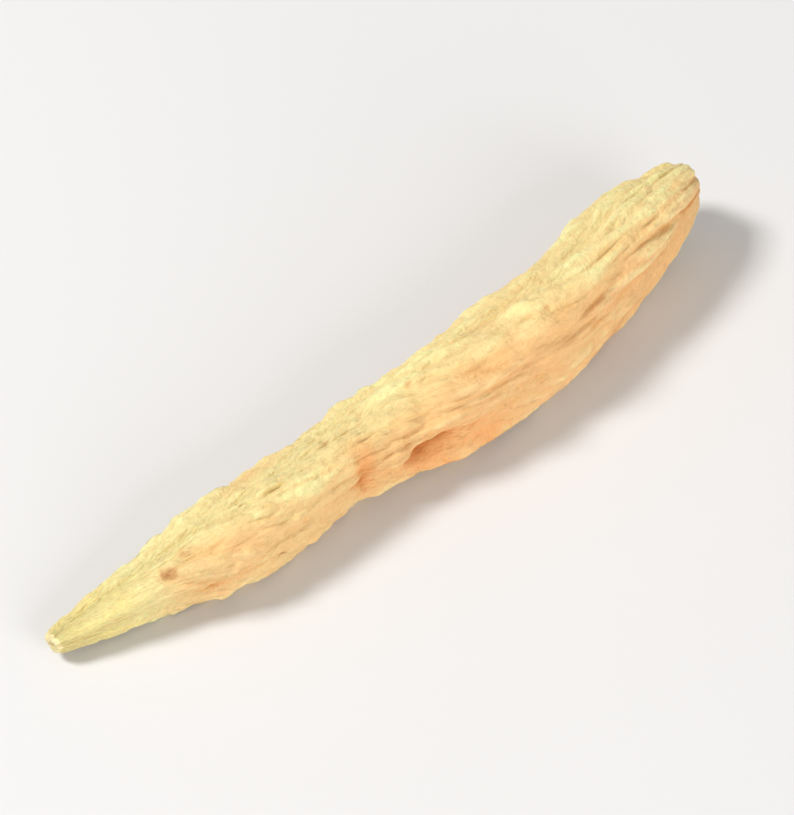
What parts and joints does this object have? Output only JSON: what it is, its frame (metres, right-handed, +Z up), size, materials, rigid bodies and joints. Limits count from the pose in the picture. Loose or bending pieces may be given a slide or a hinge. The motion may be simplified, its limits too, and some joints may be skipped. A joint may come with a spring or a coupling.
{
  "type": "dried pseudostellaria root",
  "caption": "Slender dried spindle root, thickest towards its crown and thin at its tail, with lengthwise furrows, pinched hollows and a cupped stem scar.",
  "frame": {"origin": "on the surface the root rests on, under the middle of its bounding box", "axes": "+X along the root from its tail to its crown, +Z up, +Y to the left of somebody who looks along +X"},
  "size_m": [0.0478, 0.008, 0.0069],
  "materials": {
    "dried_skin": "matt, finely furrowed, pale yellow to tan"
  },
  "bodies": {
    "root": {"root": "dried_skin"}
  },
  "joints": []
}
